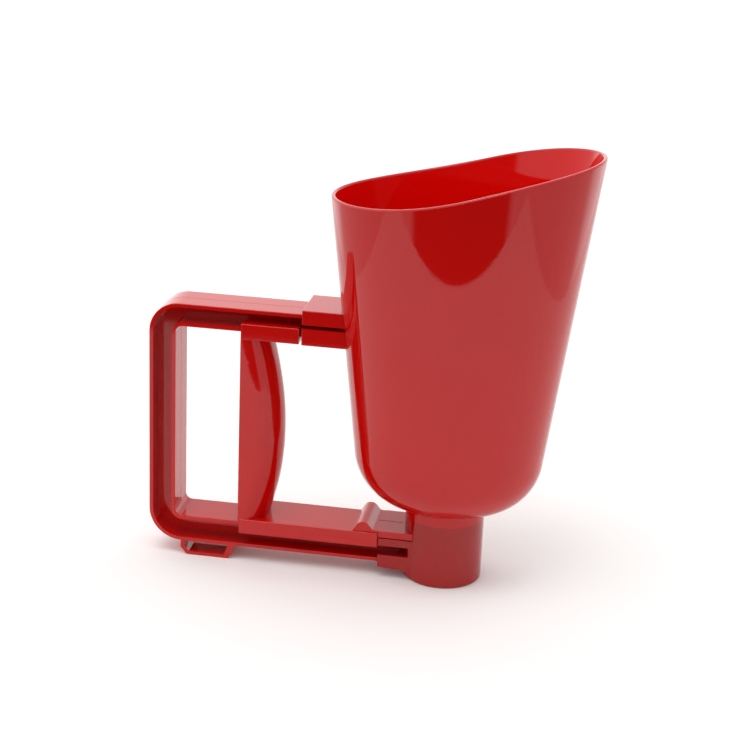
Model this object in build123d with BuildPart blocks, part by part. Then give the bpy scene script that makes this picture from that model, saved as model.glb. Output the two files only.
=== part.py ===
from build123d import *
import os
from math import sqrt

# Hand-held dispenser: a tall hopper cup over an outlet barrel, a D-shaped handle of I-beam
# section, and a squeeze trigger that slides on the handle and draws a flat gate out of the
# barrel. Millimetres, +Z up. The origin is the centre of the barrel's lower rim. The handle
# lies towards -X, and the part is symmetric about Y = 0 apart from the return spring's pocket.

os.makedirs("parts", exist_ok=True)

EDGE_ROUND = 0.4  # moulded edges of the handle, runners and sockets

# ---- Outlet barrel ----
BARREL_RADIUS = 18.5
BARREL_HEIGHT = 30.8
BARREL_BORE_RADIUS = 16.0
BARREL_BORE_DEPTH = 16.5
BARREL_EDGE_ROUND = 1.0
ORIFICE_RADIUS = 10.0

# ---- Gate: a flat blade that crosses the barrel ----
BLADE_HALF_WIDTH = 12.6
BLADE_BOTTOM = 20.3
BLADE_TOP = 23.5
BLADE_NOSE_CENTRE = 1.0
BLADE_SLOT_GAP = 0.2
RIDGE_HALF_WIDTH = 12.3
RIDGE_START = -42.0
RIDGE_CREST_START = -39.0
RIDGE_CREST_END = -35.2
RIDGE_END = -32.1
RIDGE_TOP = 27.1
RIDGE_ROUND = 2.9
RIDGE_FOOT_ROUND = 1.8
PEG_X = -37.0
PEG_Y = 6.0
PEG_RADIUS = 2.0
PEG_LENGTH = 1.8
PEG_HOLE_GAP = 0.05
GROOVE_START = -31.5
GROOVE_LENGTH = 12.0
GROOVE_WIDTH = 0.5
GROOVE_DEPTH = 0.3

# ---- Gate seal ----
SEAL_OUTER_RADIUS = 12.4
SEAL_INNER_RADIUS = 10.6
SEAL_HEIGHT = 1.6
SEAL_GAP = 0.1

# ---- Hopper cup: a cup whose walls lean outwards, narrower across Y than along X ----
CUP_FLOOR = 34.8
CUP_WALL = 2.0
CUP_RADIUS_AT_ZERO = 36.6
CUP_WALL_SLOPE = 0.124
CUP_CORNER_RADIUS = 28.0
CUP_WIDTH_RATIO = 0.77
CUP_MIDDLE_HEIGHT = 120.0
CUP_BLANK_TOP = 216.0
RIM_LOW = 181.2
RIM_MIDDLE = 192.8
RIM_HIGH = 206.5
RIM_START_X = -70.0
RIM_MIDDLE_X = 8.0
RIM_END_X = 66.0
RIM_ROUND = 0.8
NECK_ROUND = 1.5
SPIGOT_RADIUS = 15.45
SPIGOT_BOTTOM = 27.0
SPIGOT_GAP = 0.05
FUNNEL_DEPTH = 4.0

# ---- Handle frame: a U of I-beam section ----
FRAME_HALF_WIDTH = 10.5
FLANGE = 1.85
WEB = 2.5
HANDLE_BACK = -141.0
HANDLE_GRIP_FACE = -128.4
HANDLE_MIDDLE_HEIGHT = 60.0
UPPER_ARM_TOP = 125.6
UPPER_ARM_UNDERSIDE = 114.75
UPPER_ARM_END = -53.0
LOWER_ARM_TOP = 20.1
LOWER_ARM_UNDERSIDE = 6.95
LOWER_ARM_END = -29.7
TENON_END = -20.8
TENON_TOP = 17.85
OUTER_TOP_RADIUS = 14.2
OUTER_BOTTOM_RADIUS = 15.8
INNER_RADIUS = 3.2

# ---- Foot loop under the handle's corner ----
FOOT_BACK = -125.5
FOOT_FRONT = -98.7
FOOT_BACK_CORNER_X = -122.4
FOOT_BACK_CORNER_Z = 3.7
FOOT_FRONT_CORNER_X = -102.0
FOOT_WALL = 1.7
FOOT_INNER_BACK_X = -121.5
FOOT_INNER_BACK_Z = 4.3
FOOT_INNER_FRONT_X = -104.3
FOOT_INNER_FRONT_TOP_X = -102.2

# ---- Sockets that hold the frame's two open ends ----
SOCKET_HALF_WIDTH = 13.2
SOCKET_GAP = 0.1
ARM_END_GAP = 0.4
UPPER_SOCKET_END = -68.8
UPPER_SOCKET_ROOT = -40.0
UPPER_SOCKET_TOP = 128.2
UPPER_SOCKET_BOTTOM = 111.6
UPPER_SLOT_BOTTOM = 119.5
UPPER_SLOT_HEIGHT = 1.9
LOWER_SOCKET_END = -29.5
LOWER_SOCKET_TOP = 19.95
LOWER_SOCKET_BOTTOM = 5.3
LOWER_SOCKET_ROOT = -10.0
LOWER_SOCKET_KNEE_X = -17.0
LOWER_SOCKET_KNEE_Z = 4.5
LOWER_SOCKET_TOE_X = -13.2
LOWER_SOCKET_TOE_Z = 1.2
LOWER_SLOT_BOTTOM = 11.7
LOWER_SLOT_HEIGHT = 4.7
LOWER_SLOT_LENGTH = 14.5

# ---- Trigger: two runners joined by a bowed grip ----
RUNNER_HALF_WIDTH = 13.2
RUNNER_GAP = 0.2
RUNNER_LIP_INNER = 5.5
GRIP_HALF_WIDTH = 13.0
GRIP_BACK = -97.1
GRIP_SINK = 1.0  # how far the grip's ends reach into the runners
UPPER_RUNNER_END = -69.9
UPPER_RUNNER_BOTTOM = 111.9
UPPER_RUNNER_TOP = 119.3
LOWER_RUNNER_START = -96.5
LOWER_RUNNER_END = -29.8
LOWER_RUNNER_BOTTOM = 15.1
LOWER_RUNNER_TOP = 22.3

# ---- Return spring and its rod, in the pocket on the +Y side of the lower arm ----
SPRING_Y = 5.9
SPRING_Z = 12.1
SPRING_LEFT = -92.0
SPRING_RIGHT = -36.0
SPRING_COIL_RADIUS = 2.1
SPRING_WIRE_RADIUS = 0.3
SPRING_END_GAP = 0.05
SPRING_TURNS = 18
ROD_RADIUS = 1.0
ROD_LEFT = -94.0
ROD_RIGHT = -31.0
ROD_FIT = 0.02
LUG_LEFT = -95.0
LUG_RIGHT = -32.0
LUG_WIDTH = 8.4
LUG_TOP = 14.9
TAB_THICKNESS = 2.4
TAB_INNER = 2.0
TAB_WIDTH = 8.0
TAB_BOTTOM = 9.6
TAB_ROOT = 1.5  # how far the tab is sunk into the runner
TAB_HOLE_GAP = 0.3

CUT_MARGIN = 1.0  # how far a cut runs past the faces that it opens
ROOT_OVERLAP = 0.5  # how far a feature is sunk into the body that it grows from


def block(x_range, y_range, z_range, edge_round=0.0):
    """Plain block between three pairs of limits, with its edges rounded if asked."""
    with BuildPart() as solid:
        with BuildSketch(Plane.XY.offset(z_range[0])):
            with Locations((x_range[0], y_range[0])):
                Rectangle(
                    x_range[1] - x_range[0],
                    y_range[1] - y_range[0],
                    align=(Align.MIN, Align.MIN),
                )
        extrude(amount=z_range[1] - z_range[0])
        if edge_round > 0:
            fillet(solid.edges(), edge_round)
    return solid.part


def cup_outline(floor_z, inset, corner_radius):
    """Closed half-section of the cup, inset from the outer wall and rounded at the floor."""
    wall_inset = inset * sqrt(1 + CUP_WALL_SLOPE**2)
    floor_radius = CUP_RADIUS_AT_ZERO + CUP_WALL_SLOPE * floor_z - wall_inset
    top_radius = CUP_RADIUS_AT_ZERO + CUP_WALL_SLOPE * CUP_BLANK_TOP - wall_inset
    with BuildSketch(Plane.XZ) as outline:
        with BuildLine():
            Polyline(
                (0, floor_z),
                (floor_radius, floor_z),
                (top_radius, CUP_BLANK_TOP),
                (0, CUP_BLANK_TOP),
                close=True,
            )
        make_face()
        floor_corner = outline.vertices().sort_by(Axis.Y)[:2].sort_by(Axis.X)[-1]
        fillet(floor_corner, radius=corner_radius)
    return outline.sketch


def cup_body(floor_z, inset, corner_radius):
    """Round cup blank, then narrowed across Y so that its wall keeps one thickness."""
    middle_radius = CUP_RADIUS_AT_ZERO + CUP_WALL_SLOPE * CUP_MIDDLE_HEIGHT
    ratio = (CUP_WIDTH_RATIO * middle_radius - inset) / (middle_radius - inset)
    with BuildPart() as blank:
        add(cup_outline(floor_z, inset, corner_radius))
        revolve(axis=Axis.Z)
    return scale(blank.part, by=(1, ratio, 1))


# The cup's outside and inside as solids. They are made here because scale() would replace
# whatever part is being built when it is called.
cup_outer = cup_body(CUP_FLOOR, 0, CUP_CORNER_RADIUS)
cup_inner = cup_body(CUP_FLOOR + CUP_WALL, CUP_WALL, CUP_CORNER_RADIUS - CUP_WALL)

# The scooped rim: level near the handle, rising in an S to the pouring side.
with BuildPart() as above_rim:
    with BuildSketch(Plane.XZ):
        with BuildLine():
            rise = TangentArc((RIM_START_X, RIM_LOW), (RIM_MIDDLE_X, RIM_MIDDLE), tangent=(1, 0))
            crown = TangentArc((RIM_MIDDLE_X, RIM_MIDDLE), (RIM_END_X, RIM_HIGH), tangent=rise % 1)
            Polyline(
                crown @ 1,
                (-RIM_START_X, RIM_HIGH + CUT_MARGIN),
                (-RIM_START_X, CUP_BLANK_TOP + CUT_MARGIN),
                (RIM_START_X, CUP_BLANK_TOP + CUT_MARGIN),
                (RIM_START_X, RIM_LOW),
            )
        make_face()
    extrude(amount=-RIM_START_X, both=True)

# The upper socket: two jaws on each side with a slot between them that runs to the cup's wall.
cavity_half_width = FRAME_HALF_WIDTH + SOCKET_GAP
slot_half_width = SOCKET_HALF_WIDTH + CUT_MARGIN
with BuildPart() as upper_socket:
    add(
        block(
            (UPPER_SOCKET_END, UPPER_SOCKET_ROOT),
            (-SOCKET_HALF_WIDTH, SOCKET_HALF_WIDTH),
            (UPPER_SOCKET_BOTTOM, UPPER_SOCKET_TOP),
            EDGE_ROUND,
        )
    )
    # Cavity that takes the end of the upper arm.
    add(
        block(
            (UPPER_SOCKET_END - CUT_MARGIN, UPPER_ARM_END + ARM_END_GAP),
            (-cavity_half_width, cavity_half_width),
            (UPPER_ARM_UNDERSIDE - SOCKET_GAP, UPPER_ARM_TOP + SOCKET_GAP),
        ),
        mode=Mode.SUBTRACT,
    )
    add(
        block(
            (UPPER_SOCKET_END - CUT_MARGIN, UPPER_SOCKET_ROOT - CUT_MARGIN),
            (-slot_half_width, slot_half_width),
            (UPPER_SLOT_BOTTOM, UPPER_SLOT_BOTTOM + UPPER_SLOT_HEIGHT),
        ),
        mode=Mode.SUBTRACT,
    )

# ---- Hopper cup, with its upper socket, neck and spigot ----
with BuildPart() as hopper_cup:
    add(cup_outer)
    # Neck and spigot under the floor.
    with BuildSketch(Plane.XY.offset(BARREL_HEIGHT)):
        Circle(BARREL_RADIUS)
    extrude(amount=CUP_FLOOR + CUP_WALL - BARREL_HEIGHT)
    neck_root = hopper_cup.edges().filter_by_position(Axis.Z, CUP_FLOOR, CUP_FLOOR + CUP_WALL)
    fillet(neck_root, NECK_ROUND)
    with BuildSketch(Plane.XY.offset(SPIGOT_BOTTOM)):
        Circle(SPIGOT_RADIUS)
    extrude(amount=CUP_FLOOR - SPIGOT_BOTTOM)
    add(upper_socket.part)
    # Inside of the cup and the funnel down to the gate.
    add(cup_inner, mode=Mode.SUBTRACT)
    with BuildSketch(Plane.XY.offset(SPIGOT_BOTTOM)):
        Circle(ORIFICE_RADIUS)
    extrude(amount=CUP_FLOOR + CUP_WALL + CUT_MARGIN - SPIGOT_BOTTOM, mode=Mode.SUBTRACT)
    with BuildSketch(Plane.XY.offset(CUP_FLOOR + CUP_WALL)):
        Circle(ORIFICE_RADIUS + FUNNEL_DEPTH)
    extrude(amount=-FUNNEL_DEPTH, taper=45, mode=Mode.SUBTRACT)
    # Scooped and rounded rim.
    add(above_rim.part, mode=Mode.SUBTRACT)
    rim_edges = hopper_cup.edges().filter_by_position(Axis.Z, RIM_LOW - CUT_MARGIN, RIM_HIGH + CUT_MARGIN)
    fillet(rim_edges, RIM_ROUND)
hopper_cup.part.label = "hopper_cup"

# The lower socket's outer shape: its underside runs down to the barrel's foot.
with BuildPart() as lower_socket:
    with BuildSketch(Plane.XZ):
        with BuildLine():
            Polyline(
                (LOWER_SOCKET_END, LOWER_SOCKET_BOTTOM),
                (LOWER_SOCKET_END, LOWER_SOCKET_TOP),
                (LOWER_SOCKET_ROOT, LOWER_SOCKET_TOP),
                (LOWER_SOCKET_ROOT, LOWER_SOCKET_TOE_Z),
                (LOWER_SOCKET_TOE_X, LOWER_SOCKET_TOE_Z),
                (LOWER_SOCKET_KNEE_X, LOWER_SOCKET_KNEE_Z),
                close=True,
            )
        make_face()
    extrude(amount=SOCKET_HALF_WIDTH, both=True)
    fillet(lower_socket.faces().sort_by(Axis.Y)[0].edges(), EDGE_ROUND)
    fillet(lower_socket.faces().sort_by(Axis.Y)[-1].edges(), EDGE_ROUND)

# ---- Outlet barrel, with the gate slot and the lower socket ----
with BuildPart() as outlet_barrel:
    add(lower_socket.part)
    # Cavity for the stepped end of the lower arm.
    add(
        block(
            (LOWER_SOCKET_END - CUT_MARGIN, TENON_END + ARM_END_GAP),
            (-cavity_half_width, cavity_half_width),
            (LOWER_ARM_UNDERSIDE - SOCKET_GAP, TENON_TOP + SOCKET_GAP),
        ),
        mode=Mode.SUBTRACT,
    )
    # Slots between the lower socket's jaws, one on each side of a web that meets the arm's web.
    for slot_sides in ((-slot_half_width, -WEB / 2), (WEB / 2, slot_half_width)):
        add(
            block(
                (LOWER_SOCKET_END - CUT_MARGIN, LOWER_SOCKET_END + LOWER_SLOT_LENGTH),
                slot_sides,
                (LOWER_SLOT_BOTTOM, LOWER_SLOT_BOTTOM + LOWER_SLOT_HEIGHT),
            ),
            mode=Mode.SUBTRACT,
        )
    # The barrel, its lower rim rounded outside.
    with BuildSketch():
        Circle(BARREL_RADIUS)
    extrude(amount=BARREL_HEIGHT)
    barrel_rim = outlet_barrel.edges().filter_by(GeomType.CIRCLE).sort_by(Axis.Z)[0]
    fillet(barrel_rim, BARREL_EDGE_ROUND)
    # Open bore below the gate, the hole above it, and the seat for the cup's spigot.
    with BuildSketch():
        Circle(BARREL_BORE_RADIUS)
    extrude(amount=BARREL_BORE_DEPTH, mode=Mode.SUBTRACT)
    with BuildSketch():
        Circle(ORIFICE_RADIUS)
    extrude(amount=BARREL_HEIGHT, mode=Mode.SUBTRACT)
    with BuildSketch(Plane.XY.offset(BARREL_HEIGHT)):
        Circle(SPIGOT_RADIUS + SPIGOT_GAP)
    extrude(amount=SPIGOT_BOTTOM - BARREL_HEIGHT, mode=Mode.SUBTRACT)
    # Gate slot, open towards the handle and round-ended inside.
    with BuildSketch(Plane.XY.offset(BLADE_BOTTOM - BLADE_SLOT_GAP)):
        with Locations((BLADE_NOSE_CENTRE, 0)):
            Circle(BLADE_HALF_WIDTH + BLADE_SLOT_GAP)
            Rectangle(
                2 * BARREL_RADIUS,
                2 * (BLADE_HALF_WIDTH + BLADE_SLOT_GAP),
                align=(Align.MAX, Align.CENTER),
            )
    extrude(amount=BLADE_TOP - BLADE_BOTTOM + 2 * BLADE_SLOT_GAP, mode=Mode.SUBTRACT)
    # Groove for the gate seal, above the slot.
    with BuildSketch(Plane.XY.offset(BLADE_TOP)):
        Circle(SEAL_OUTER_RADIUS + SPIGOT_GAP)
        Circle(SEAL_INNER_RADIUS - SPIGOT_GAP, mode=Mode.SUBTRACT)
    extrude(amount=SEAL_HEIGHT + 2 * SEAL_GAP, mode=Mode.SUBTRACT)
outlet_barrel.part.label = "outlet_barrel"

# ---- Gate seal: a soft ring that wipes the top of the blade ----
with BuildPart() as gate_seal:
    with BuildSketch(Plane.XY.offset(BLADE_TOP + SEAL_GAP)):
        Circle(SEAL_OUTER_RADIUS)
        Circle(SEAL_INNER_RADIUS, mode=Mode.SUBTRACT)
    extrude(amount=SEAL_HEIGHT)
gate_seal.part.label = "gate_seal"


def frame_outline(plane, inset):
    """The handle's U on a plane, shrunk by inset on its long edges."""
    with BuildSketch(plane) as u_shape:
        with BuildLine():
            FilletPolyline(
                (UPPER_ARM_END, UPPER_ARM_TOP - inset),
                (HANDLE_BACK + inset, UPPER_ARM_TOP - inset),
                (HANDLE_BACK + inset, HANDLE_MIDDLE_HEIGHT),
                radius=OUTER_TOP_RADIUS - inset,
            )
            FilletPolyline(
                (HANDLE_BACK + inset, HANDLE_MIDDLE_HEIGHT),
                (HANDLE_BACK + inset, LOWER_ARM_UNDERSIDE + inset),
                (LOWER_ARM_END, LOWER_ARM_UNDERSIDE + inset),
                radius=OUTER_BOTTOM_RADIUS - inset,
            )
            Line(
                (LOWER_ARM_END, LOWER_ARM_UNDERSIDE + inset),
                (LOWER_ARM_END, LOWER_ARM_TOP - inset),
            )
            FilletPolyline(
                (LOWER_ARM_END, LOWER_ARM_TOP - inset),
                (HANDLE_GRIP_FACE - inset, LOWER_ARM_TOP - inset),
                (HANDLE_GRIP_FACE - inset, UPPER_ARM_UNDERSIDE + inset),
                (UPPER_ARM_END, UPPER_ARM_UNDERSIDE + inset),
                radius=INNER_RADIUS + inset,
            )
            Line(
                (UPPER_ARM_END, UPPER_ARM_UNDERSIDE + inset),
                (UPPER_ARM_END, UPPER_ARM_TOP - inset),
            )
        make_face()
    return u_shape.sketch


# ---- Handle frame, with the stepped tenon, the foot loop and the spring's two lugs ----
with BuildPart() as handle_frame:
    extrude(frame_outline(Plane.XZ, 0), amount=FRAME_HALF_WIDTH, both=True)
    fillet(handle_frame.faces().sort_by(Axis.Y)[0].edges(), EDGE_ROUND)
    fillet(handle_frame.faces().sort_by(Axis.Y)[-1].edges(), EDGE_ROUND)
    # Tenon that enters the lower socket.
    add(
        block(
            (LOWER_ARM_END - CUT_MARGIN, TENON_END),
            (-FRAME_HALF_WIDTH, FRAME_HALF_WIDTH),
            (LOWER_ARM_UNDERSIDE, TENON_TOP),
        )
    )
    # Pockets on both sides leave two flanges and a web at mid depth.
    for side in (-1, 1):
        pocket_plane = Plane.XZ.offset(-side * WEB / 2)
        pocket_depth = -side * FRAME_HALF_WIDTH
        extrude(frame_outline(pocket_plane, FLANGE), amount=pocket_depth, mode=Mode.SUBTRACT)
        with BuildSketch(pocket_plane):
            with Locations((LOWER_ARM_END - CUT_MARGIN, LOWER_ARM_UNDERSIDE + FLANGE)):
                Rectangle(
                    TENON_END - LOWER_ARM_END + 2 * CUT_MARGIN,
                    TENON_TOP - LOWER_ARM_UNDERSIDE - 2 * FLANGE,
                    align=(Align.MIN, Align.MIN),
                )
        extrude(amount=pocket_depth, mode=Mode.SUBTRACT)
    # Hollow foot loop, level with the barrel's lower rim, its front and back corners cut off.
    with BuildSketch(Plane.XZ):
        with BuildLine():
            Polyline(
                (FOOT_BACK, LOWER_ARM_UNDERSIDE + ROOT_OVERLAP),
                (FOOT_BACK, FOOT_BACK_CORNER_Z),
                (FOOT_BACK_CORNER_X, 0),
                (FOOT_FRONT_CORNER_X, 0),
                (FOOT_FRONT, LOWER_ARM_UNDERSIDE),
                (FOOT_FRONT, LOWER_ARM_UNDERSIDE + ROOT_OVERLAP),
                close=True,
            )
        make_face()
        with BuildLine():
            Polyline(
                (FOOT_BACK + FOOT_WALL, LOWER_ARM_UNDERSIDE),
                (FOOT_BACK + FOOT_WALL, FOOT_INNER_BACK_Z),
                (FOOT_INNER_BACK_X, FOOT_WALL),
                (FOOT_INNER_FRONT_X, FOOT_WALL),
                (FOOT_INNER_FRONT_TOP_X, LOWER_ARM_UNDERSIDE),
                close=True,
            )
        make_face(mode=Mode.SUBTRACT)
    extrude(amount=FRAME_HALF_WIDTH, both=True)
    # Lugs that carry the spring's guide rod, in the +Y pocket.
    for lug_range in ((LUG_LEFT, SPRING_LEFT), (LUG_RIGHT, LOWER_ARM_END)):
        add(
            block(
                lug_range,
                (WEB / 2 - ROOT_OVERLAP, WEB / 2 - ROOT_OVERLAP + LUG_WIDTH),
                (LOWER_ARM_UNDERSIDE + FLANGE - ROOT_OVERLAP, LUG_TOP),
            )
        )
    with BuildSketch(Plane.YZ.offset(ROD_LEFT)):
        with Locations((SPRING_Y, SPRING_Z)):
            Circle(ROD_RADIUS + ROD_FIT)
    extrude(amount=ROD_RIGHT - ROD_LEFT, mode=Mode.SUBTRACT)
handle_frame.part.label = "handle_frame"

# ---- Guide rod, a plain steel pin between the frame's two lugs ----
with BuildPart() as spring_rod:
    with BuildSketch(Plane.YZ.offset(ROD_LEFT)):
        with Locations((SPRING_Y, SPRING_Z)):
            Circle(ROD_RADIUS)
    extrude(amount=ROD_RIGHT - ROD_LEFT)
spring_rod.part.label = "spring_rod"

# ---- Return spring around the rod, pushed by the trigger's tab ----
coil_start = SPRING_LEFT + SPRING_WIRE_RADIUS + SPRING_END_GAP
coil_length = SPRING_RIGHT - SPRING_WIRE_RADIUS - SPRING_END_GAP - coil_start
with BuildPart() as return_spring:
    with BuildLine() as coil:
        Helix(
            coil_length / SPRING_TURNS,
            coil_length,
            SPRING_COIL_RADIUS,
            center=(coil_start, SPRING_Y, SPRING_Z),
            direction=(1, 0, 0),
        )
    with BuildSketch(Plane(origin=coil.line @ 0, z_dir=coil.line % 0)):
        Circle(SPRING_WIRE_RADIUS)
    sweep(path=coil.line)
return_spring.part.label = "return_spring"


def grip_section(height, side_depth, nose_depth):
    """Slice of the grip: flat back, short flat sides and a half-oval front for the fingers."""
    side_end = GRIP_BACK + side_depth
    with BuildSketch(Plane.XY.offset(height)) as section:
        with BuildLine():
            Polyline(
                (side_end, -GRIP_HALF_WIDTH),
                (GRIP_BACK, -GRIP_HALF_WIDTH),
                (GRIP_BACK, GRIP_HALF_WIDTH),
                (side_end, GRIP_HALF_WIDTH),
            )
            EllipticalCenterArc(
                (side_end, 0),
                nose_depth - side_depth,
                GRIP_HALF_WIDTH,
                start_angle=-90,
                arc_size=180,
            )
        make_face()
    return section.sketch


# Height, depth of the flat sides and depth of the front's nose, up the bowed grip.
GRIP_SECTIONS = (
    (LOWER_RUNNER_TOP - GRIP_SINK, 0.6, 13.0),
    (27.0, 1.2, 14.0),
    (36.0, 3.4, 16.2),
    (48.0, 5.3, 18.3),
    (66.0, 6.0, 19.3),
    (84.0, 4.6, 18.1),
    (100.0, 1.8, 15.3),
    (UPPER_RUNNER_BOTTOM + GRIP_SINK, 0.6, 11.7),
)

# ---- Trigger: upper runner, bowed grip and lower runner in one moulding ----
with BuildPart() as trigger:
    for section_values in GRIP_SECTIONS:
        add(grip_section(*section_values))
    loft()
    runner_sides = (-RUNNER_HALF_WIDTH, RUNNER_HALF_WIDTH)
    upper_length = (GRIP_BACK, UPPER_RUNNER_END)
    lower_length = (LOWER_RUNNER_START, LOWER_RUNNER_END)
    add(block(upper_length, runner_sides, (UPPER_RUNNER_BOTTOM, UPPER_RUNNER_TOP), EDGE_ROUND))
    add(block(lower_length, runner_sides, (LOWER_RUNNER_BOTTOM, LOWER_RUNNER_TOP), EDGE_ROUND))
    flange_half_width = FRAME_HALF_WIDTH + RUNNER_GAP
    flange_sides = (-flange_half_width, flange_half_width)
    lip_sides = (-RUNNER_LIP_INNER, RUNNER_LIP_INNER)
    # Upper runner: a tunnel for the frame's inner flange, open upwards between its lips.
    upper_cut = (GRIP_BACK - CUT_MARGIN, UPPER_RUNNER_END + CUT_MARGIN)
    flange_top = UPPER_ARM_UNDERSIDE + FLANGE + RUNNER_GAP
    add(
        block(upper_cut, flange_sides, (UPPER_ARM_UNDERSIDE - RUNNER_GAP, flange_top)),
        mode=Mode.SUBTRACT,
    )
    add(
        block(upper_cut, lip_sides, (flange_top - RUNNER_GAP, UPPER_RUNNER_TOP + CUT_MARGIN)),
        mode=Mode.SUBTRACT,
    )
    # Lower runner: the same, open downwards.
    lower_cut = (GRIP_BACK - CUT_MARGIN, LOWER_RUNNER_END + CUT_MARGIN)
    flange_bottom = LOWER_ARM_TOP - FLANGE - RUNNER_GAP
    add(
        block(lower_cut, flange_sides, (flange_bottom, LOWER_ARM_TOP + RUNNER_GAP)),
        mode=Mode.SUBTRACT,
    )
    add(
        block(lower_cut, lip_sides, (LOWER_RUNNER_BOTTOM - CUT_MARGIN, flange_bottom + RUNNER_GAP)),
        mode=Mode.SUBTRACT,
    )
    # Tab that pushes the spring, with a clear hole for the rod.
    add(
        block(
            (SPRING_RIGHT, SPRING_RIGHT + TAB_THICKNESS),
            (TAB_INNER, TAB_INNER + TAB_WIDTH),
            (TAB_BOTTOM, LOWER_RUNNER_BOTTOM + TAB_ROOT),
        )
    )
    with BuildSketch(Plane.YZ.offset(SPRING_RIGHT - CUT_MARGIN)):
        with Locations((SPRING_Y, SPRING_Z)):
            Circle(ROD_RADIUS + TAB_HOLE_GAP)
    extrude(amount=TAB_THICKNESS + 2 * CUT_MARGIN, mode=Mode.SUBTRACT)
    # Two holes in the runner's top for the blade's pegs.
    with BuildSketch(Plane.XY.offset(LOWER_RUNNER_TOP)):
        with Locations((PEG_X, -PEG_Y), (PEG_X, PEG_Y)):
            Circle(PEG_RADIUS + PEG_HOLE_GAP)
    extrude(amount=LOWER_ARM_TOP - LOWER_RUNNER_TOP, mode=Mode.SUBTRACT)
trigger.part.label = "trigger"

# The blade's finger ridge, and the lap by which it sits on the runner's end.
with BuildPart() as blade_ridge:
    with BuildSketch(Plane.XZ):
        with BuildLine():
            crest = FilletPolyline(
                (RIDGE_START, LOWER_RUNNER_TOP),
                (RIDGE_CREST_START, RIDGE_TOP),
                (RIDGE_CREST_END, RIDGE_TOP),
                (RIDGE_END, BLADE_TOP),
                (LOWER_RUNNER_END + CUT_MARGIN, BLADE_TOP),
                radius=(RIDGE_ROUND, RIDGE_ROUND, RIDGE_FOOT_ROUND),
            )
            Polyline(
                crest @ 1,
                (LOWER_RUNNER_END + CUT_MARGIN, LOWER_RUNNER_TOP),
                crest @ 0,
            )
        make_face()
    extrude(amount=RIDGE_HALF_WIDTH, both=True)

# ---- Gate blade: round-nosed tongue with a finger ridge, pegged to the lower runner ----
with BuildPart() as gate_blade:
    blade_start = LOWER_RUNNER_END + RUNNER_GAP
    with BuildSketch(Plane.XY.offset(BLADE_BOTTOM)):
        with Locations((BLADE_NOSE_CENTRE, 0)):
            Circle(BLADE_HALF_WIDTH)
            Rectangle(
                BLADE_NOSE_CENTRE - blade_start,
                2 * BLADE_HALF_WIDTH,
                align=(Align.MAX, Align.CENTER),
            )
    extrude(amount=BLADE_TOP - BLADE_BOTTOM)
    add(blade_ridge.part)
    # Pegs down through the runner's top.
    with BuildSketch(Plane.XY.offset(LOWER_RUNNER_TOP)):
        with Locations((PEG_X, -PEG_Y), (PEG_X, PEG_Y)):
            Circle(PEG_RADIUS)
    extrude(amount=-PEG_LENGTH)
    # Sighting line along the middle of the exposed tongue.
    with BuildSketch(Plane.XY.offset(BLADE_TOP)):
        with Locations((GROOVE_START, 0)):
            Rectangle(GROOVE_LENGTH, GROOVE_WIDTH, align=(Align.MIN, Align.CENTER))
    extrude(amount=-GROOVE_DEPTH, mode=Mode.SUBTRACT)
gate_blade.part.label = "gate_blade"

for piece in (
    hopper_cup,
    outlet_barrel,
    gate_seal,
    handle_frame,
    spring_rod,
    return_spring,
    trigger,
    gate_blade,
):
    export_step(piece.part, f"parts/{piece.part.label}.step")
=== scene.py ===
import bmesh
import bpy
import math
from mathutils import Matrix, Vector


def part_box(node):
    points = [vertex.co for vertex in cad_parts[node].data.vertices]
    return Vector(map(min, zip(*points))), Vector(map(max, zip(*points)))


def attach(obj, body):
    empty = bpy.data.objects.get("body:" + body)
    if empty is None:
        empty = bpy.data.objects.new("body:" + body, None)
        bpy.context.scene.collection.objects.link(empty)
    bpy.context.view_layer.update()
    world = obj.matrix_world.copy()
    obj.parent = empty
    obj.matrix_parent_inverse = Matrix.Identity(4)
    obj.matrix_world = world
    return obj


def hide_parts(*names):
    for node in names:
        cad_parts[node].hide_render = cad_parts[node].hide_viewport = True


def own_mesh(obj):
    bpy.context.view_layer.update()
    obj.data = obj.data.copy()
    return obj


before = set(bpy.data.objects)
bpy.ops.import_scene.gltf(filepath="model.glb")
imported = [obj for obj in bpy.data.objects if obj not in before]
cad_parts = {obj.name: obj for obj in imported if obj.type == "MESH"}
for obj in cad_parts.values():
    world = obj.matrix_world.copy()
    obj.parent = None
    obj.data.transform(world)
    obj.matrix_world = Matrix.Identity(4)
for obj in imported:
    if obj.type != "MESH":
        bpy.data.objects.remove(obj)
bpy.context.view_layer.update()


# ---------------------------------------------------------------- camera
CAMERA_AZIMUTH = 8.486  # degrees from straight in front towards +X
CAMERA_ELEVATION = 19.18
CAMERA_ROLL = -2.487  # the object leans a little to the right in the picture
CAMERA_PLACE = Vector((0.077425, -0.761335, 0.363889))
LENS_MM = 84.6
SENSOR_MM = 36.0


def make_camera():
    azimuth = math.radians(CAMERA_AZIMUTH)
    elevation = math.radians(CAMERA_ELEVATION)
    roll = math.radians(CAMERA_ROLL)
    back = Vector((
        math.sin(azimuth) * math.cos(elevation),
        -math.cos(azimuth) * math.cos(elevation),
        math.sin(elevation),
    ))
    level_right = Vector((math.cos(azimuth), math.sin(azimuth), 0.0))
    level_up = back.cross(level_right)
    right = level_right * math.cos(roll) - level_up * math.sin(roll)
    up = level_up * math.cos(roll) + level_right * math.sin(roll)
    data = bpy.data.cameras.new("camera")
    data.sensor_width = SENSOR_MM
    data.lens = LENS_MM
    data.clip_start = 0.01
    camera = bpy.data.objects.new("camera", data)
    bpy.context.scene.collection.objects.link(camera)
    turn = Matrix((right, up, back)).transposed()
    camera.matrix_world = Matrix.Translation(CAMERA_PLACE) @ turn.to_4x4()
    bpy.context.scene.camera = camera


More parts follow.
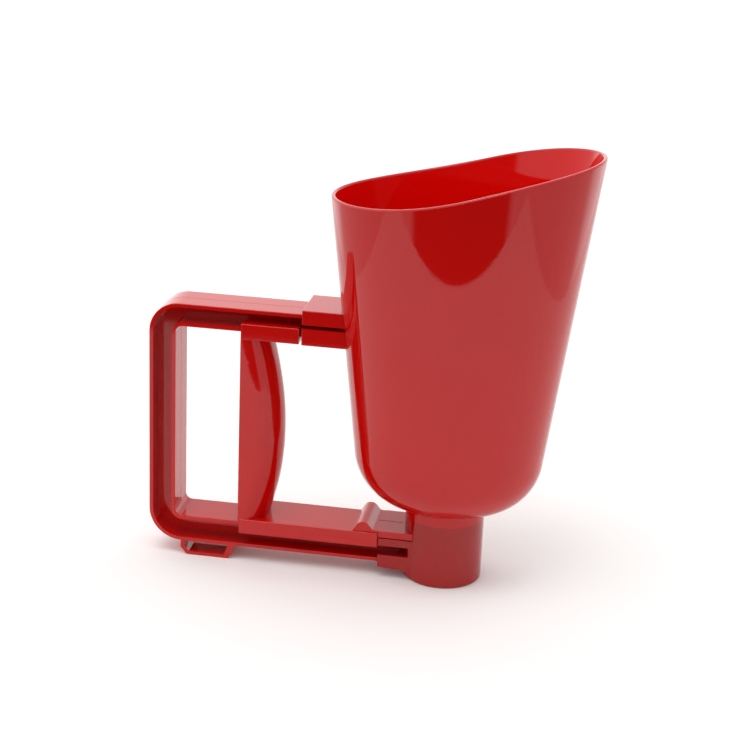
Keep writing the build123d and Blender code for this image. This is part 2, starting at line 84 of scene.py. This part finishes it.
# ---------------------------------------------------------------- node helpers
def new_material(name):
    material = bpy.data.materials.new(name)
    material.use_nodes = True
    tree = material.node_tree
    return material, tree, tree.nodes["Principled BSDF"]


def link(tree, source, target):
    tree.links.new(source, target)


def shade(colour, factor):
    """The colour made lighter or darker, with full opacity."""
    return (*[min(1.0, channel * factor) for channel in colour], 1.0)


# Scales are in cells per metre, depths in metres.
DRIFT_SCALE = 22.0
DRIFT_DETAIL = 3.0
DRIFT_SPREAD = 0.06  # how far the colour strays, either way
POLISH_SCALE = 60.0
POLISH_DETAIL = 4.0
POLISH_LOW = 0.8  # least and most roughness, in parts of the mean
POLISH_HIGH = 1.25
PEEL_SCALE = 900.0
PEEL_DETAIL = 2.0
PEEL_DEPTH = 0.000004
PLASTIC_IOR = 1.5


def red_plastic(name, colour, roughness):
    """Gloss moulded plastic: flow-mottled colour, uneven polish and a faint orange peel."""
    material, tree, shader = new_material(name)
    nodes = tree.nodes
    place = nodes.new("ShaderNodeTexCoord")
    # Slow colour drift of the moulding's flow.
    drift = nodes.new("ShaderNodeTexNoise")
    drift.inputs["Scale"].default_value = DRIFT_SCALE
    drift.inputs["Detail"].default_value = DRIFT_DETAIL
    link(tree, place.outputs["Object"], drift.inputs["Vector"])
    colours = nodes.new("ShaderNodeMix")
    colours.data_type = "RGBA"
    colours.inputs["A"].default_value = shade(colour, 1 - DRIFT_SPREAD)
    colours.inputs["B"].default_value = shade(colour, 1 + DRIFT_SPREAD)
    link(tree, drift.outputs["Fac"], colours.inputs["Factor"])
    link(tree, colours.outputs["Result"], shader.inputs["Base Color"])
    # Polish that varies a little over the surface.
    polish = nodes.new("ShaderNodeMapRange")
    polish.inputs["To Min"].default_value = roughness * POLISH_LOW
    polish.inputs["To Max"].default_value = roughness * POLISH_HIGH
    wear = nodes.new("ShaderNodeTexNoise")
    wear.inputs["Scale"].default_value = POLISH_SCALE
    wear.inputs["Detail"].default_value = POLISH_DETAIL
    link(tree, place.outputs["Object"], wear.inputs["Vector"])
    link(tree, wear.outputs["Fac"], polish.inputs["Value"])
    link(tree, polish.outputs["Result"], shader.inputs["Roughness"])
    # Orange peel.
    peel = nodes.new("ShaderNodeTexNoise")
    peel.inputs["Scale"].default_value = PEEL_SCALE
    peel.inputs["Detail"].default_value = PEEL_DETAIL
    link(tree, place.outputs["Object"], peel.inputs["Vector"])
    bump = nodes.new("ShaderNodeBump")
    bump.inputs["Strength"].default_value = 1.0
    bump.inputs["Distance"].default_value = PEEL_DEPTH
    link(tree, peel.outputs["Fac"], bump.inputs["Height"])
    link(tree, bump.outputs["Normal"], shader.inputs["Normal"])
    shader.inputs["IOR"].default_value = PLASTIC_IOR
    return material


def give(node, material):
    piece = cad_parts[node]
    piece.data.materials.clear()
    piece.data.materials.append(material)


STREAK_SCALE = 900.0
STREAK_DETAIL = 3.0
STREAK_DEPTH = 0.000006
STREAK_POLISH_LOW = 0.6
STREAK_POLISH_HIGH = 1.5


def metal(name, colour, roughness, streaks):
    """Drawn steel: fine lengthwise streaks in its polish and its surface."""
    material, tree, shader = new_material(name)
    nodes = tree.nodes
    shader.inputs["Metallic"].default_value = 1.0
    shader.inputs["Base Color"].default_value = (*colour, 1.0)
    place = nodes.new("ShaderNodeTexCoord")
    stretch = nodes.new("ShaderNodeMapping")
    stretch.inputs["Scale"].default_value = streaks
    link(tree, place.outputs["Object"], stretch.inputs["Vector"])
    noise = nodes.new("ShaderNodeTexNoise")
    noise.inputs["Scale"].default_value = STREAK_SCALE
    noise.inputs["Detail"].default_value = STREAK_DETAIL
    link(tree, stretch.outputs["Vector"], noise.inputs["Vector"])
    polish = nodes.new("ShaderNodeMapRange")
    polish.inputs["To Min"].default_value = roughness * STREAK_POLISH_LOW
    polish.inputs["To Max"].default_value = roughness * STREAK_POLISH_HIGH
    link(tree, noise.outputs["Fac"], polish.inputs["Value"])
    link(tree, polish.outputs["Result"], shader.inputs["Roughness"])
    bump = nodes.new("ShaderNodeBump")
    bump.inputs["Strength"].default_value = 1.0
    bump.inputs["Distance"].default_value = STREAK_DEPTH
    link(tree, noise.outputs["Fac"], bump.inputs["Height"])
    link(tree, bump.outputs["Normal"], shader.inputs["Normal"])
    return material


CLOUD_SCALE = 260.0
CLOUD_DETAIL = 4.0
CLOUD_SHADE = 0.9
SILICONE_ROUGHNESS = 0.55
SILICONE_IOR = 1.41
SILICONE_BUMP = 0.00002
SILICONE_SCATTER = 0.2
SILICONE_SCATTER_DEPTH = 0.001


def silicone(name, colour):
    """Soft milky rubber with a dusty, slightly uneven surface."""
    material, tree, shader = new_material(name)
    nodes = tree.nodes
    place = nodes.new("ShaderNodeTexCoord")
    cloud = nodes.new("ShaderNodeTexNoise")
    cloud.inputs["Scale"].default_value = CLOUD_SCALE
    cloud.inputs["Detail"].default_value = CLOUD_DETAIL
    link(tree, place.outputs["Object"], cloud.inputs["Vector"])
    colours = nodes.new("ShaderNodeMix")
    colours.data_type = "RGBA"
    colours.inputs["A"].default_value = shade(colour, CLOUD_SHADE)
    colours.inputs["B"].default_value = shade(colour, 1.0)
    link(tree, cloud.outputs["Fac"], colours.inputs["Factor"])
    link(tree, colours.outputs["Result"], shader.inputs["Base Color"])
    shader.inputs["Roughness"].default_value = SILICONE_ROUGHNESS
    shader.inputs["IOR"].default_value = SILICONE_IOR
    shader.inputs["Subsurface Weight"].default_value = SILICONE_SCATTER
    shader.inputs["Subsurface Scale"].default_value = SILICONE_SCATTER_DEPTH
    bump = nodes.new("ShaderNodeBump")
    bump.inputs["Distance"].default_value = SILICONE_BUMP
    link(tree, cloud.outputs["Fac"], bump.inputs["Height"])
    link(tree, bump.outputs["Normal"], shader.inputs["Normal"])
    return material


# ---------------------------------------------------------------- mesh helpers
MM = 0.001


def face_outward(mesh):
    """Turn every face of a closed mesh to look outward."""
    editable = bmesh.new()
    editable.from_mesh(mesh)
    bmesh.ops.recalc_face_normals(editable, faces=editable.faces)
    editable.to_mesh(mesh)
    editable.free()


def make_piece(name, points, faces, material, body, smooth_angle=35.0):
    """A mesh object that rides on a body, smooth-shaded up to an angle."""
    mesh = bpy.data.meshes.new(name)
    mesh.from_pydata([tuple(point) for point in points], [], faces)
    mesh.update()
    face_outward(mesh)
    mesh.materials.append(material)
    for polygon in mesh.polygons:
        polygon.use_smooth = True
    mesh.set_sharp_from_angle(angle=math.radians(smooth_angle))
    piece = bpy.data.objects.new(name, mesh)
    bpy.context.scene.collection.objects.link(piece)
    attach(piece, body)
    return piece


def ring_faces(rings, around, closed):
    """Quads between successive rings of points, and an end cap at each end when not closed."""
    faces = []
    last = rings if closed else rings - 1
    for ring in range(last):
        here = ring * around
        there = (ring + 1) % rings * around
        for step in range(around):
            following = (step + 1) % around
            faces.append((here + step, here + following, there + following, there + step))
    if not closed:
        faces.append(tuple(reversed(range(around))))
        faces.append(tuple(range((rings - 1) * around, rings * around)))
    return faces


# ---------------------------------------------------------------- return spring
WIRE_RADIUS = 0.3 * MM
ACTIVE_TURNS = 16
CLOSED_TURNS = 1.5  # dead turns that lie against each other at each end
TURN_STEPS = 28
WIRE_STEPS = 10
CLOSED_PITCH = 2.15 * WIRE_RADIUS


def make_spring(material):
    """Compression spring with closed ends, in place of the plain coil of the design."""
    low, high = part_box("return_spring")
    axis_y = (low.y + high.y) / 2
    axis_z = (low.z + high.z) / 2
    coil_radius = (high.y - low.y) / 2 - WIRE_RADIUS
    length = high.x - low.x - 2 * WIRE_RADIUS
    open_pitch = (length - 2 * CLOSED_TURNS * CLOSED_PITCH) / ACTIVE_TURNS
    turns = ACTIVE_TURNS + 2 * CLOSED_TURNS
    rings = int(turns * TURN_STEPS) + 1
    points = []
    x = low.x + WIRE_RADIUS
    for ring in range(rings):
        turn = ring / TURN_STEPS
        is_closed = turn < CLOSED_TURNS or turn > turns - CLOSED_TURNS
        pitch = CLOSED_PITCH if is_closed else open_pitch
        heading = 2 * math.pi * turn
        out = Vector((0, math.cos(heading), math.sin(heading)))
        along = Vector((pitch / (2 * math.pi * coil_radius), -math.sin(heading), math.cos(heading)))
        across = along.normalized().cross(out)
        centre = Vector((x, axis_y, axis_z)) + out * coil_radius
        for step in range(WIRE_STEPS):
            turned = 2 * math.pi * step / WIRE_STEPS
            points.append(centre + (out * math.cos(turned) + across * math.sin(turned)) * WIRE_RADIUS)
        x += pitch / TURN_STEPS
    faces = ring_faces(rings, WIRE_STEPS, closed=False)
    spring = make_piece("return_spring_coil", points, faces, material, "body", smooth_angle=60.0)
    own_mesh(spring)
    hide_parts("return_spring")


# ---------------------------------------------------------------- gate seal
SEAL_INNER_RADIUS = 10.6 * MM
SEAL_SEGMENTS = 120
# Profile across the ring, in parts of its width and height, starting at the inner lip.
SEAL_PROFILE = (
    (0.00, 0.10), (0.06, 0.0), (0.22, 0.0), (0.30, 0.10), (0.42, 0.22), (0.58, 0.22),
    (0.70, 0.10), (0.78, 0.0), (0.94, 0.0), (1.0, 0.10), (1.0, 0.82), (0.95, 0.95),
    (0.86, 1.0), (0.14, 1.0), (0.05, 0.95), (0.0, 0.82),
)


def make_seal(material):
    """Moulded sealing ring: rounded back, and two wiping lips with a channel between them."""
    low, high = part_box("gate_seal")
    outer = (high.x - low.x) / 2
    width = outer - SEAL_INNER_RADIUS
    height = high.z - low.z
    points = []
    for segment in range(SEAL_SEGMENTS):
        heading = 2 * math.pi * segment / SEAL_SEGMENTS
        for across, up in SEAL_PROFILE:
            radius = SEAL_INNER_RADIUS + across * width
            points.append((radius * math.cos(heading), radius * math.sin(heading), low.z + up * height))
    faces = ring_faces(SEAL_SEGMENTS, len(SEAL_PROFILE), closed=True)
    seal = make_piece("gate_seal_ring", points, faces, material, "body", smooth_angle=50.0)
    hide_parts("gate_seal")


# ---------------------------------------------------------------- parting line of the handle
PARTING_HALF_WIDTH = 0.26 * MM
PARTING_HEIGHT = 0.06 * MM
PARTING_ROOT = 0.10 * MM
BEAD_POINTS = 5  # points of the bead's section: two roots, two edges and the crest
OUTER_TOP_RADIUS = 14.2 * MM
OUTER_BOTTOM_RADIUS = 15.8 * MM
INNER_RADIUS = 3.2 * MM
POST_INNER_X = -128.4 * MM
ARM_UNDERSIDE_Z = 114.75 * MM
LOWER_ARM_TOP_Z = 20.1 * MM
LOWER_ARM_UNDERSIDE_Z = 6.95 * MM
FOOT_FRONT_X = -98.7 * MM
UPPER_SOCKET_X = -68.8 * MM
LOWER_SOCKET_X = -29.7 * MM
ARC_STEPS = 18
OUTER_END_ANGLE = 268.0  # the bead stops in the corner, short of the foot loop
INNER_TURN = 80.0  # how far the inner bead runs round each corner of the opening


def arc(centre_x, centre_z, radius, start, end):
    """Points of an arc in the X-Z plane, each with its outward direction, angles in degrees."""
    stretch = []
    for step in range(ARC_STEPS + 1):
        angle = math.radians(start + (end - start) * step / ARC_STEPS)
        out = Vector((math.cos(angle), 0, math.sin(angle)))
        stretch.append((Vector((centre_x, 0, centre_z)) + out * radius, out))
    return stretch


def parting_bead(name, path, material):
    """Fine raised seam along a path of (point, outward direction)."""
    points = []
    for place, out in path:
        side = Vector((0, PARTING_HALF_WIDTH, 0))
        points += [
            place - out * PARTING_ROOT - side,
            place - side,
            place + out * PARTING_HEIGHT,
            place + side,
            place - out * PARTING_ROOT + side,
        ]
    faces = ring_faces(len(path), BEAD_POINTS, closed=False)
    make_piece(name, points, faces, material, "body", smooth_angle=20.0)


def make_parting_lines(material):
    low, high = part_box("handle_frame")
    up, down = Vector((0, 0, 1)), Vector((0, 0, -1))
    top = [(Vector((UPPER_SOCKET_X, 0, high.z)), up)]
    top += arc(low.x + OUTER_TOP_RADIUS, high.z - OUTER_TOP_RADIUS, OUTER_TOP_RADIUS, 90, 180)
    corner_z = LOWER_ARM_UNDERSIDE_Z + OUTER_BOTTOM_RADIUS
    top += arc(low.x + OUTER_BOTTOM_RADIUS, corner_z, OUTER_BOTTOM_RADIUS, 180, OUTER_END_ANGLE)
    parting_bead("parting_line_outside", top, material)
    under = [
        (Vector((FOOT_FRONT_X, 0, LOWER_ARM_UNDERSIDE_Z)), down),
        (Vector((LOWER_SOCKET_X, 0, LOWER_ARM_UNDERSIDE_Z)), down),
    ]
    parting_bead("parting_line_under", under, material)
    inner_x = POST_INNER_X + INNER_RADIUS
    inner = arc(inner_x, ARM_UNDERSIDE_Z - INNER_RADIUS, INNER_RADIUS, 180 - INNER_TURN, 180)
    inner += arc(inner_x, LOWER_ARM_TOP_Z + INNER_RADIUS, INNER_RADIUS, 180, 180 + INNER_TURN)
    inner = [(place, -out) for place, out in inner]
    parting_bead("parting_line_inside", inner, material)


# ---------------------------------------------------------------- ejector marks
MARK_RADIUS = 1.3 * MM
MARK_HEIGHT = 0.12 * MM
MARK_STEPS = 32
WEB_HALF = 1.25 * MM
MARK_PLACES = (  # X, Z in millimetres, along the web of the handle
    (-134.7, 28.0),
    (-134.7, 62.0),
    (-134.7, 98.0),
    (-104.0, 120.2),
    (-78.0, 120.2),
    (-112.0, 13.5),
)
# Across and up, in parts of the radius and the height: sunk root, rim with a soft edge, and a
# shallow dished middle.
MARK_PROFILE = ((1.0, -0.5), (1.0, 0.7), (0.93, 1.0), (0.84, 1.0), (0.76, 0.55))


def make_ejector_marks(material):
    """Low round witnesses that the mould's ejector pins leave on the far side of the web."""
    points = []
    faces = []
    for x, z in MARK_PLACES:
        start = len(points)
        for reach, rise in MARK_PROFILE:
            for step in range(MARK_STEPS):
                heading = 2 * math.pi * step / MARK_STEPS
                points.append((
                    x * MM + reach * MARK_RADIUS * math.cos(heading),
                    WEB_HALF + rise * MARK_HEIGHT,
                    z * MM - reach * MARK_RADIUS * math.sin(heading),
                ))
        disc = ring_faces(len(MARK_PROFILE), MARK_STEPS, closed=False)
        faces += [tuple(start + index for index in face) for face in disc]
    make_piece("ejector_marks", points, faces, material, "body", smooth_angle=40.0)


# ---------------------------------------------------------------- hopper cup
# The cup's two surfaces, as the design states them, in millimetres: a rounded cup whose wall
# leans out, narrowed across Y.
WALL = 2.0
WALL_SLOPE = 0.124
FLOOR_Z = 34.8
RADIUS_AT_ZERO = 36.6
CORNER_RADIUS = 28.0
WIDTH_RATIO = 0.77
MIDDLE_HEIGHT = 120.0
LEAN = math.sqrt(1 + WALL_SLOPE**2)
MIDDLE_RADIUS = RADIUS_AT_ZERO + WALL_SLOPE * MIDDLE_HEIGHT
OUTER_SURFACE = {
    "floor": FLOOR_Z,
    "radius_at_zero": RADIUS_AT_ZERO,
    "corner": CORNER_RADIUS,
    "ratio": WIDTH_RATIO,
    "sign": 1.0,
}
INNER_SURFACE = {
    "floor": FLOOR_Z + WALL,
    "radius_at_zero": RADIUS_AT_ZERO - WALL * LEAN,
    "corner": CORNER_RADIUS - WALL,
    "ratio": (WIDTH_RATIO * MIDDLE_RADIUS - WALL) / (MIDDLE_RADIUS - WALL),
    "sign": -1.0,
}
AXIS_MARGIN = 1.0  # no direction outward can be told this close to the cup's axis
FIT_MM = 0.04  # a vertex this close to a surface belongs to it
FIT_COSINE = 0.97  # and its face may lean this little from the surface's normal
OUTSIDE_SLOT = 0
INSIDE_SLOT = 1


def cup_normal(surface, place):
    """Exact normal of a cup surface at a place near it, or None when the place isn't on it."""
    x, y, z = place / MM
    ratio = surface["ratio"]
    radius = math.hypot(x, y / ratio)
    if radius < AXIS_MARGIN:
        return None
    corner = surface["corner"]
    centre_z = surface["floor"] + corner
    wall_at_centre = surface["radius_at_zero"] + WALL_SLOPE * centre_z
    centre_r = wall_at_centre - corner * LEAN
    # Where the rounded corner meets the leaning wall.
    if (radius - centre_r) * WALL_SLOPE + (z - centre_z) >= 0:
        offset = (radius - surface["radius_at_zero"] - WALL_SLOPE * z) / LEAN
        across, up = 1 / LEAN, -WALL_SLOPE / LEAN
    elif radius >= centre_r:
        reach = math.hypot(radius - centre_r, z - centre_z)
        offset = reach - corner
        across, up = (radius - centre_r) / reach, (z - centre_z) / reach
    else:
        offset = surface["floor"] - z
        across, up = 0.0, -1.0
    if abs(offset) > FIT_MM:
        return None
    normal = Vector((across * x / radius, across * y / (ratio * ratio * radius), up))
    return normal.normalized() * surface["sign"]


def hopper_skin(outside, inside):
    """The hopper cup with the exact normals of its curved walls, so that its gloss runs true, and its
    inner wall in a brighter red that paints in the glow of light let through the wall.
    """
    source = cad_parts["hopper_cup"]
    mesh = source.data.copy()
    mesh.name = "hopper_cup_skin"
    mesh.materials.clear()
    mesh.materials.append(outside)
    mesh.materials.append(inside)
    normals = [Vector(corner.vector) for corner in mesh.corner_normals]
    for face in mesh.polygons:
        for surface in (OUTER_SURFACE, INNER_SURFACE):
            exact = [cup_normal(surface, mesh.vertices[v].co) for v in face.vertices]
            if all(n is not None and n.dot(face.normal) > FIT_COSINE for n in exact):
                for loop, normal in zip(face.loop_indices, exact):
                    normals[loop] = normal
                # Faces of the inner wall take the brighter red, the painted glow of light through the
                # wall.
                face.material_index = INSIDE_SLOT if surface is INNER_SURFACE else OUTSIDE_SLOT
    mesh.normals_split_custom_set(normals)
    skin = bpy.data.objects.new("hopper_cup_skin", mesh)
    bpy.context.scene.collection.objects.link(skin)
    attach(skin, "body")
    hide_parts("hopper_cup")


# ---------------------------------------------------------------- stage
FLOOR_LEFT = -0.385
FLOOR_RIGHT = 0.355
FLOOR_FRONT = -0.345
FLOOR_BACK = 1.6
FLOOR_COLOUR = (0.88, 0.88, 0.87, 1.0)
FLOOR_ROUGHNESS = 0.9
# Strengths of the light tent's parts.
BACK_LIGHT = 1.5
HIGH_BACK_LIGHT = 0.95
SIDE_LIGHT = 0.8
OPENING_LIGHT = 0.06
HIGH_FRONT_LIGHT = 0.75
HIGH_LEFT_LIGHT = 1.45
HIGH_RIGHT_LIGHT = 0.75
ROOF_LIGHT = 1.2
SOFTBOX_LIGHT = 5.0
SOFTBOX_DIRECTION = (-0.15, -0.25, 1.0)
BACKGROUND_SEEN = 1.0
# Where one part gives way to the next: degrees round from straight in front, and the sine of the
# height over the horizon.
OPENING_HALF_ANGLE = 34.0
OPENING_BLEND = 3.0
SOFTBOX_HALF_ANGLE = 13.0
SOFTBOX_BLEND = 4.0
BACK_START = 132.0
LOW_SIDE_END = 115.0
HIGH_SIDE_END = 105.0
HIGH_FRONT_START = 75.0
HIGH_FRONT_END = 35.0
BACK_FADE = (0.26, 0.44)
LEFT_TO_RIGHT = (-0.5, 0.5)
HORIZON = (0.02, 0.12)
ROOF_EDGE = (0.55, 0.80)


def make_floor():
    mesh = bpy.data.meshes.new("floor")
    corners = [
        (FLOOR_LEFT, FLOOR_FRONT, 0.0),
        (FLOOR_RIGHT, FLOOR_FRONT, 0.0),
        (FLOOR_RIGHT, FLOOR_BACK, 0.0),
        (FLOOR_LEFT, FLOOR_BACK, 0.0),
    ]
    mesh.from_pydata(corners, [], [(0, 1, 2, 3)])
    floor = bpy.data.objects.new("floor", mesh)
    bpy.context.scene.collection.objects.link(floor)
    material, tree, shader = new_material("floor_paper")
    shader.inputs["Base Color"].default_value = FLOOR_COLOUR
    shader.inputs["Roughness"].default_value = FLOOR_ROUGHNESS
    shader.inputs["Specular IOR Level"].default_value = 0.0
    mesh.materials.append(material)


def make_world():
    """Light tent by direction: dark opening low in front, pale side walls, bright back and roof."""
    world = bpy.data.worlds.new("studio")
    world.use_nodes = True
    bpy.context.scene.world = world
    tree = world.node_tree
    nodes = tree.nodes
    nodes.clear()
    place = nodes.new("ShaderNodeTexCoord")
    height = nodes.new("ShaderNodeSeparateXYZ")
    link(tree, place.outputs["Generated"], height.inputs["Vector"])
    # Heading: 1 straight in front, -1 straight behind, whatever the height.
    level = nodes.new("ShaderNodeVectorMath")
    level.operation = "MULTIPLY"
    level.inputs[1].default_value = (1.0, 1.0, 0.0)
    link(tree, place.outputs["Generated"], level.inputs[0])
    unit = nodes.new("ShaderNodeVectorMath")
    unit.operation = "NORMALIZE"
    link(tree, level.outputs["Vector"], unit.inputs[0])
    heading = nodes.new("ShaderNodeVectorMath")
    heading.operation = "DOT_PRODUCT"
    heading.inputs[1].default_value = (0.0, -1.0, 0.0)
    link(tree, unit.outputs["Vector"], heading.inputs[0])

    def step(source, start, end, before, after):
        """A number that goes smoothly from before to after as source goes from start to end."""
        ramp = nodes.new("ShaderNodeMapRange")
        ramp.interpolation_type = "SMOOTHSTEP"
        ramp.inputs["From Min"].default_value = start
        ramp.inputs["From Max"].default_value = end
        for name, value in (("To Min", before), ("To Max", after)):
            if hasattr(value, "is_linked"):
                link(tree, value, ramp.inputs[name])
            else:
                ramp.inputs[name].default_value = value
        link(tree, source, ramp.inputs["Value"])
        return ramp.outputs["Result"]

    def cosine(degrees):
        return math.cos(math.radians(degrees))

    around = heading.outputs["Value"]
    up = height.outputs["Z"]
    # Ring just above and below the horizon, then the ring over it, then the roof.
    low_walls = step(around, cosine(BACK_START), cosine(LOW_SIDE_END), BACK_LIGHT, SIDE_LIGHT)
    low_ring = step(
        around,
        cosine(OPENING_HALF_ANGLE + OPENING_BLEND),
        cosine(OPENING_HALF_ANGLE - OPENING_BLEND),
        low_walls,
        OPENING_LIGHT,
    )
    back_wall = step(up, *BACK_FADE, BACK_LIGHT, HIGH_BACK_LIGHT)
    side_wall = step(height.outputs["X"], *LEFT_TO_RIGHT, HIGH_LEFT_LIGHT, HIGH_RIGHT_LIGHT)
    high_walls = step(around, cosine(BACK_START), cosine(HIGH_SIDE_END), back_wall, side_wall)
    high_front = (cosine(HIGH_FRONT_START), cosine(HIGH_FRONT_END))
    high_ring = step(around, *high_front, high_walls, HIGH_FRONT_LIGHT)
    rings = step(up, *HORIZON, low_ring, high_ring)
    roofed = step(up, *ROOF_EDGE, rings, ROOF_LIGHT)
    # Softbox overhead, which draws the thin bright lines along the rounded edges.
    overhead = nodes.new("ShaderNodeVectorMath")
    overhead.operation = "DOT_PRODUCT"
    overhead.inputs[1].default_value = Vector(SOFTBOX_DIRECTION).normalized()
    link(tree, place.outputs["Generated"], overhead.inputs[0])
    whole = step(
        overhead.outputs["Value"],
        cosine(SOFTBOX_HALF_ANGLE + SOFTBOX_BLEND),
        cosine(SOFTBOX_HALF_ANGLE - SOFTBOX_BLEND),
        roofed,
        SOFTBOX_LIGHT,
    )
    lit = nodes.new("ShaderNodeBackground")
    link(tree, whole, lit.inputs["Strength"])
    seen = nodes.new("ShaderNodeBackground")
    seen.inputs["Strength"].default_value = BACKGROUND_SEEN
    for background in (lit, seen):
        background.inputs["Color"].default_value = (1.0, 1.0, 1.0, 1.0)
    path = nodes.new("ShaderNodeLightPath")
    choose = nodes.new("ShaderNodeMixShader")
    link(tree, path.outputs["Is Camera Ray"], choose.inputs["Fac"])
    link(tree, lit.outputs["Background"], choose.inputs[1])
    link(tree, seen.outputs["Background"], choose.inputs[2])
    output = nodes.new("ShaderNodeOutputWorld")
    link(tree, choose.outputs["Shader"], output.inputs["Surface"])


# ---------------------------------------------------------------- the object
RED = (0.49, 0.0022, 0.0012)
# Brighter red for the cup's inner wall: a painted glow that stands in for light let through the thin
# wall, not a different plastic.
INSIDE_RED_PAINTED_GLOW = (0.72, 0.0020, 0.0010)
# Darker red for the outlet barrel: painted shade from the cup overhanging it, not a darker plastic.
BARREL_RED_PAINTED_SHADE = (0.33, 0.0022, 0.0014)
SPRING_STEEL = (0.62, 0.61, 0.60)
ROD_STEEL = (0.66, 0.66, 0.67)
MILKY = (0.80, 0.80, 0.76)
CUP_ROUGHNESS = 0.03
BARREL_ROUGHNESS = 0.04
HANDLE_ROUGHNESS = 0.05
SPRING_ROUGHNESS = 0.22
ROD_ROUGHNESS = 0.18
SPRING_STREAKS = (0.2, 1.0, 1.0)  # how tight the streaks lie along X, Y and Z
ROD_STREAKS = (0.02, 1.0, 1.0)


def dress():
    """Give every piece its material, and make the pieces that Blender adds or replaces."""
    cup_red = red_plastic("cup_red", RED, CUP_ROUGHNESS)
    # The inside material is the cup's red made brighter: painted glow of light through the wall.
    painted_glow_inside_red = red_plastic("painted_glow_inside_red", INSIDE_RED_PAINTED_GLOW, CUP_ROUGHNESS)
    # The barrel material is the red darkened as painted shade from the cup above it.
    painted_shade_barrel_red = red_plastic("painted_shade_barrel_red", BARREL_RED_PAINTED_SHADE, BARREL_ROUGHNESS)
    handle_red = red_plastic("handle_red", RED, HANDLE_ROUGHNESS)
    steel_wire = metal("spring_steel", SPRING_STEEL, SPRING_ROUGHNESS, SPRING_STREAKS)
    steel_rod = metal("rod_steel", ROD_STEEL, ROD_ROUGHNESS, ROD_STREAKS)
    hopper_skin(cup_red, painted_glow_inside_red)
    give("outlet_barrel", painted_shade_barrel_red)
    for node in ("handle_frame", "trigger", "gate_blade"):
        give(node, handle_red)
    give("spring_rod", steel_rod)
    make_spring(steel_wire)
    make_seal(silicone("seal_silicone", MILKY))
    make_parting_lines(handle_red)
    make_ejector_marks(handle_red)


make_camera()
make_floor()
make_world()
bpy.context.scene.view_settings.view_transform = "Standard"
dress()
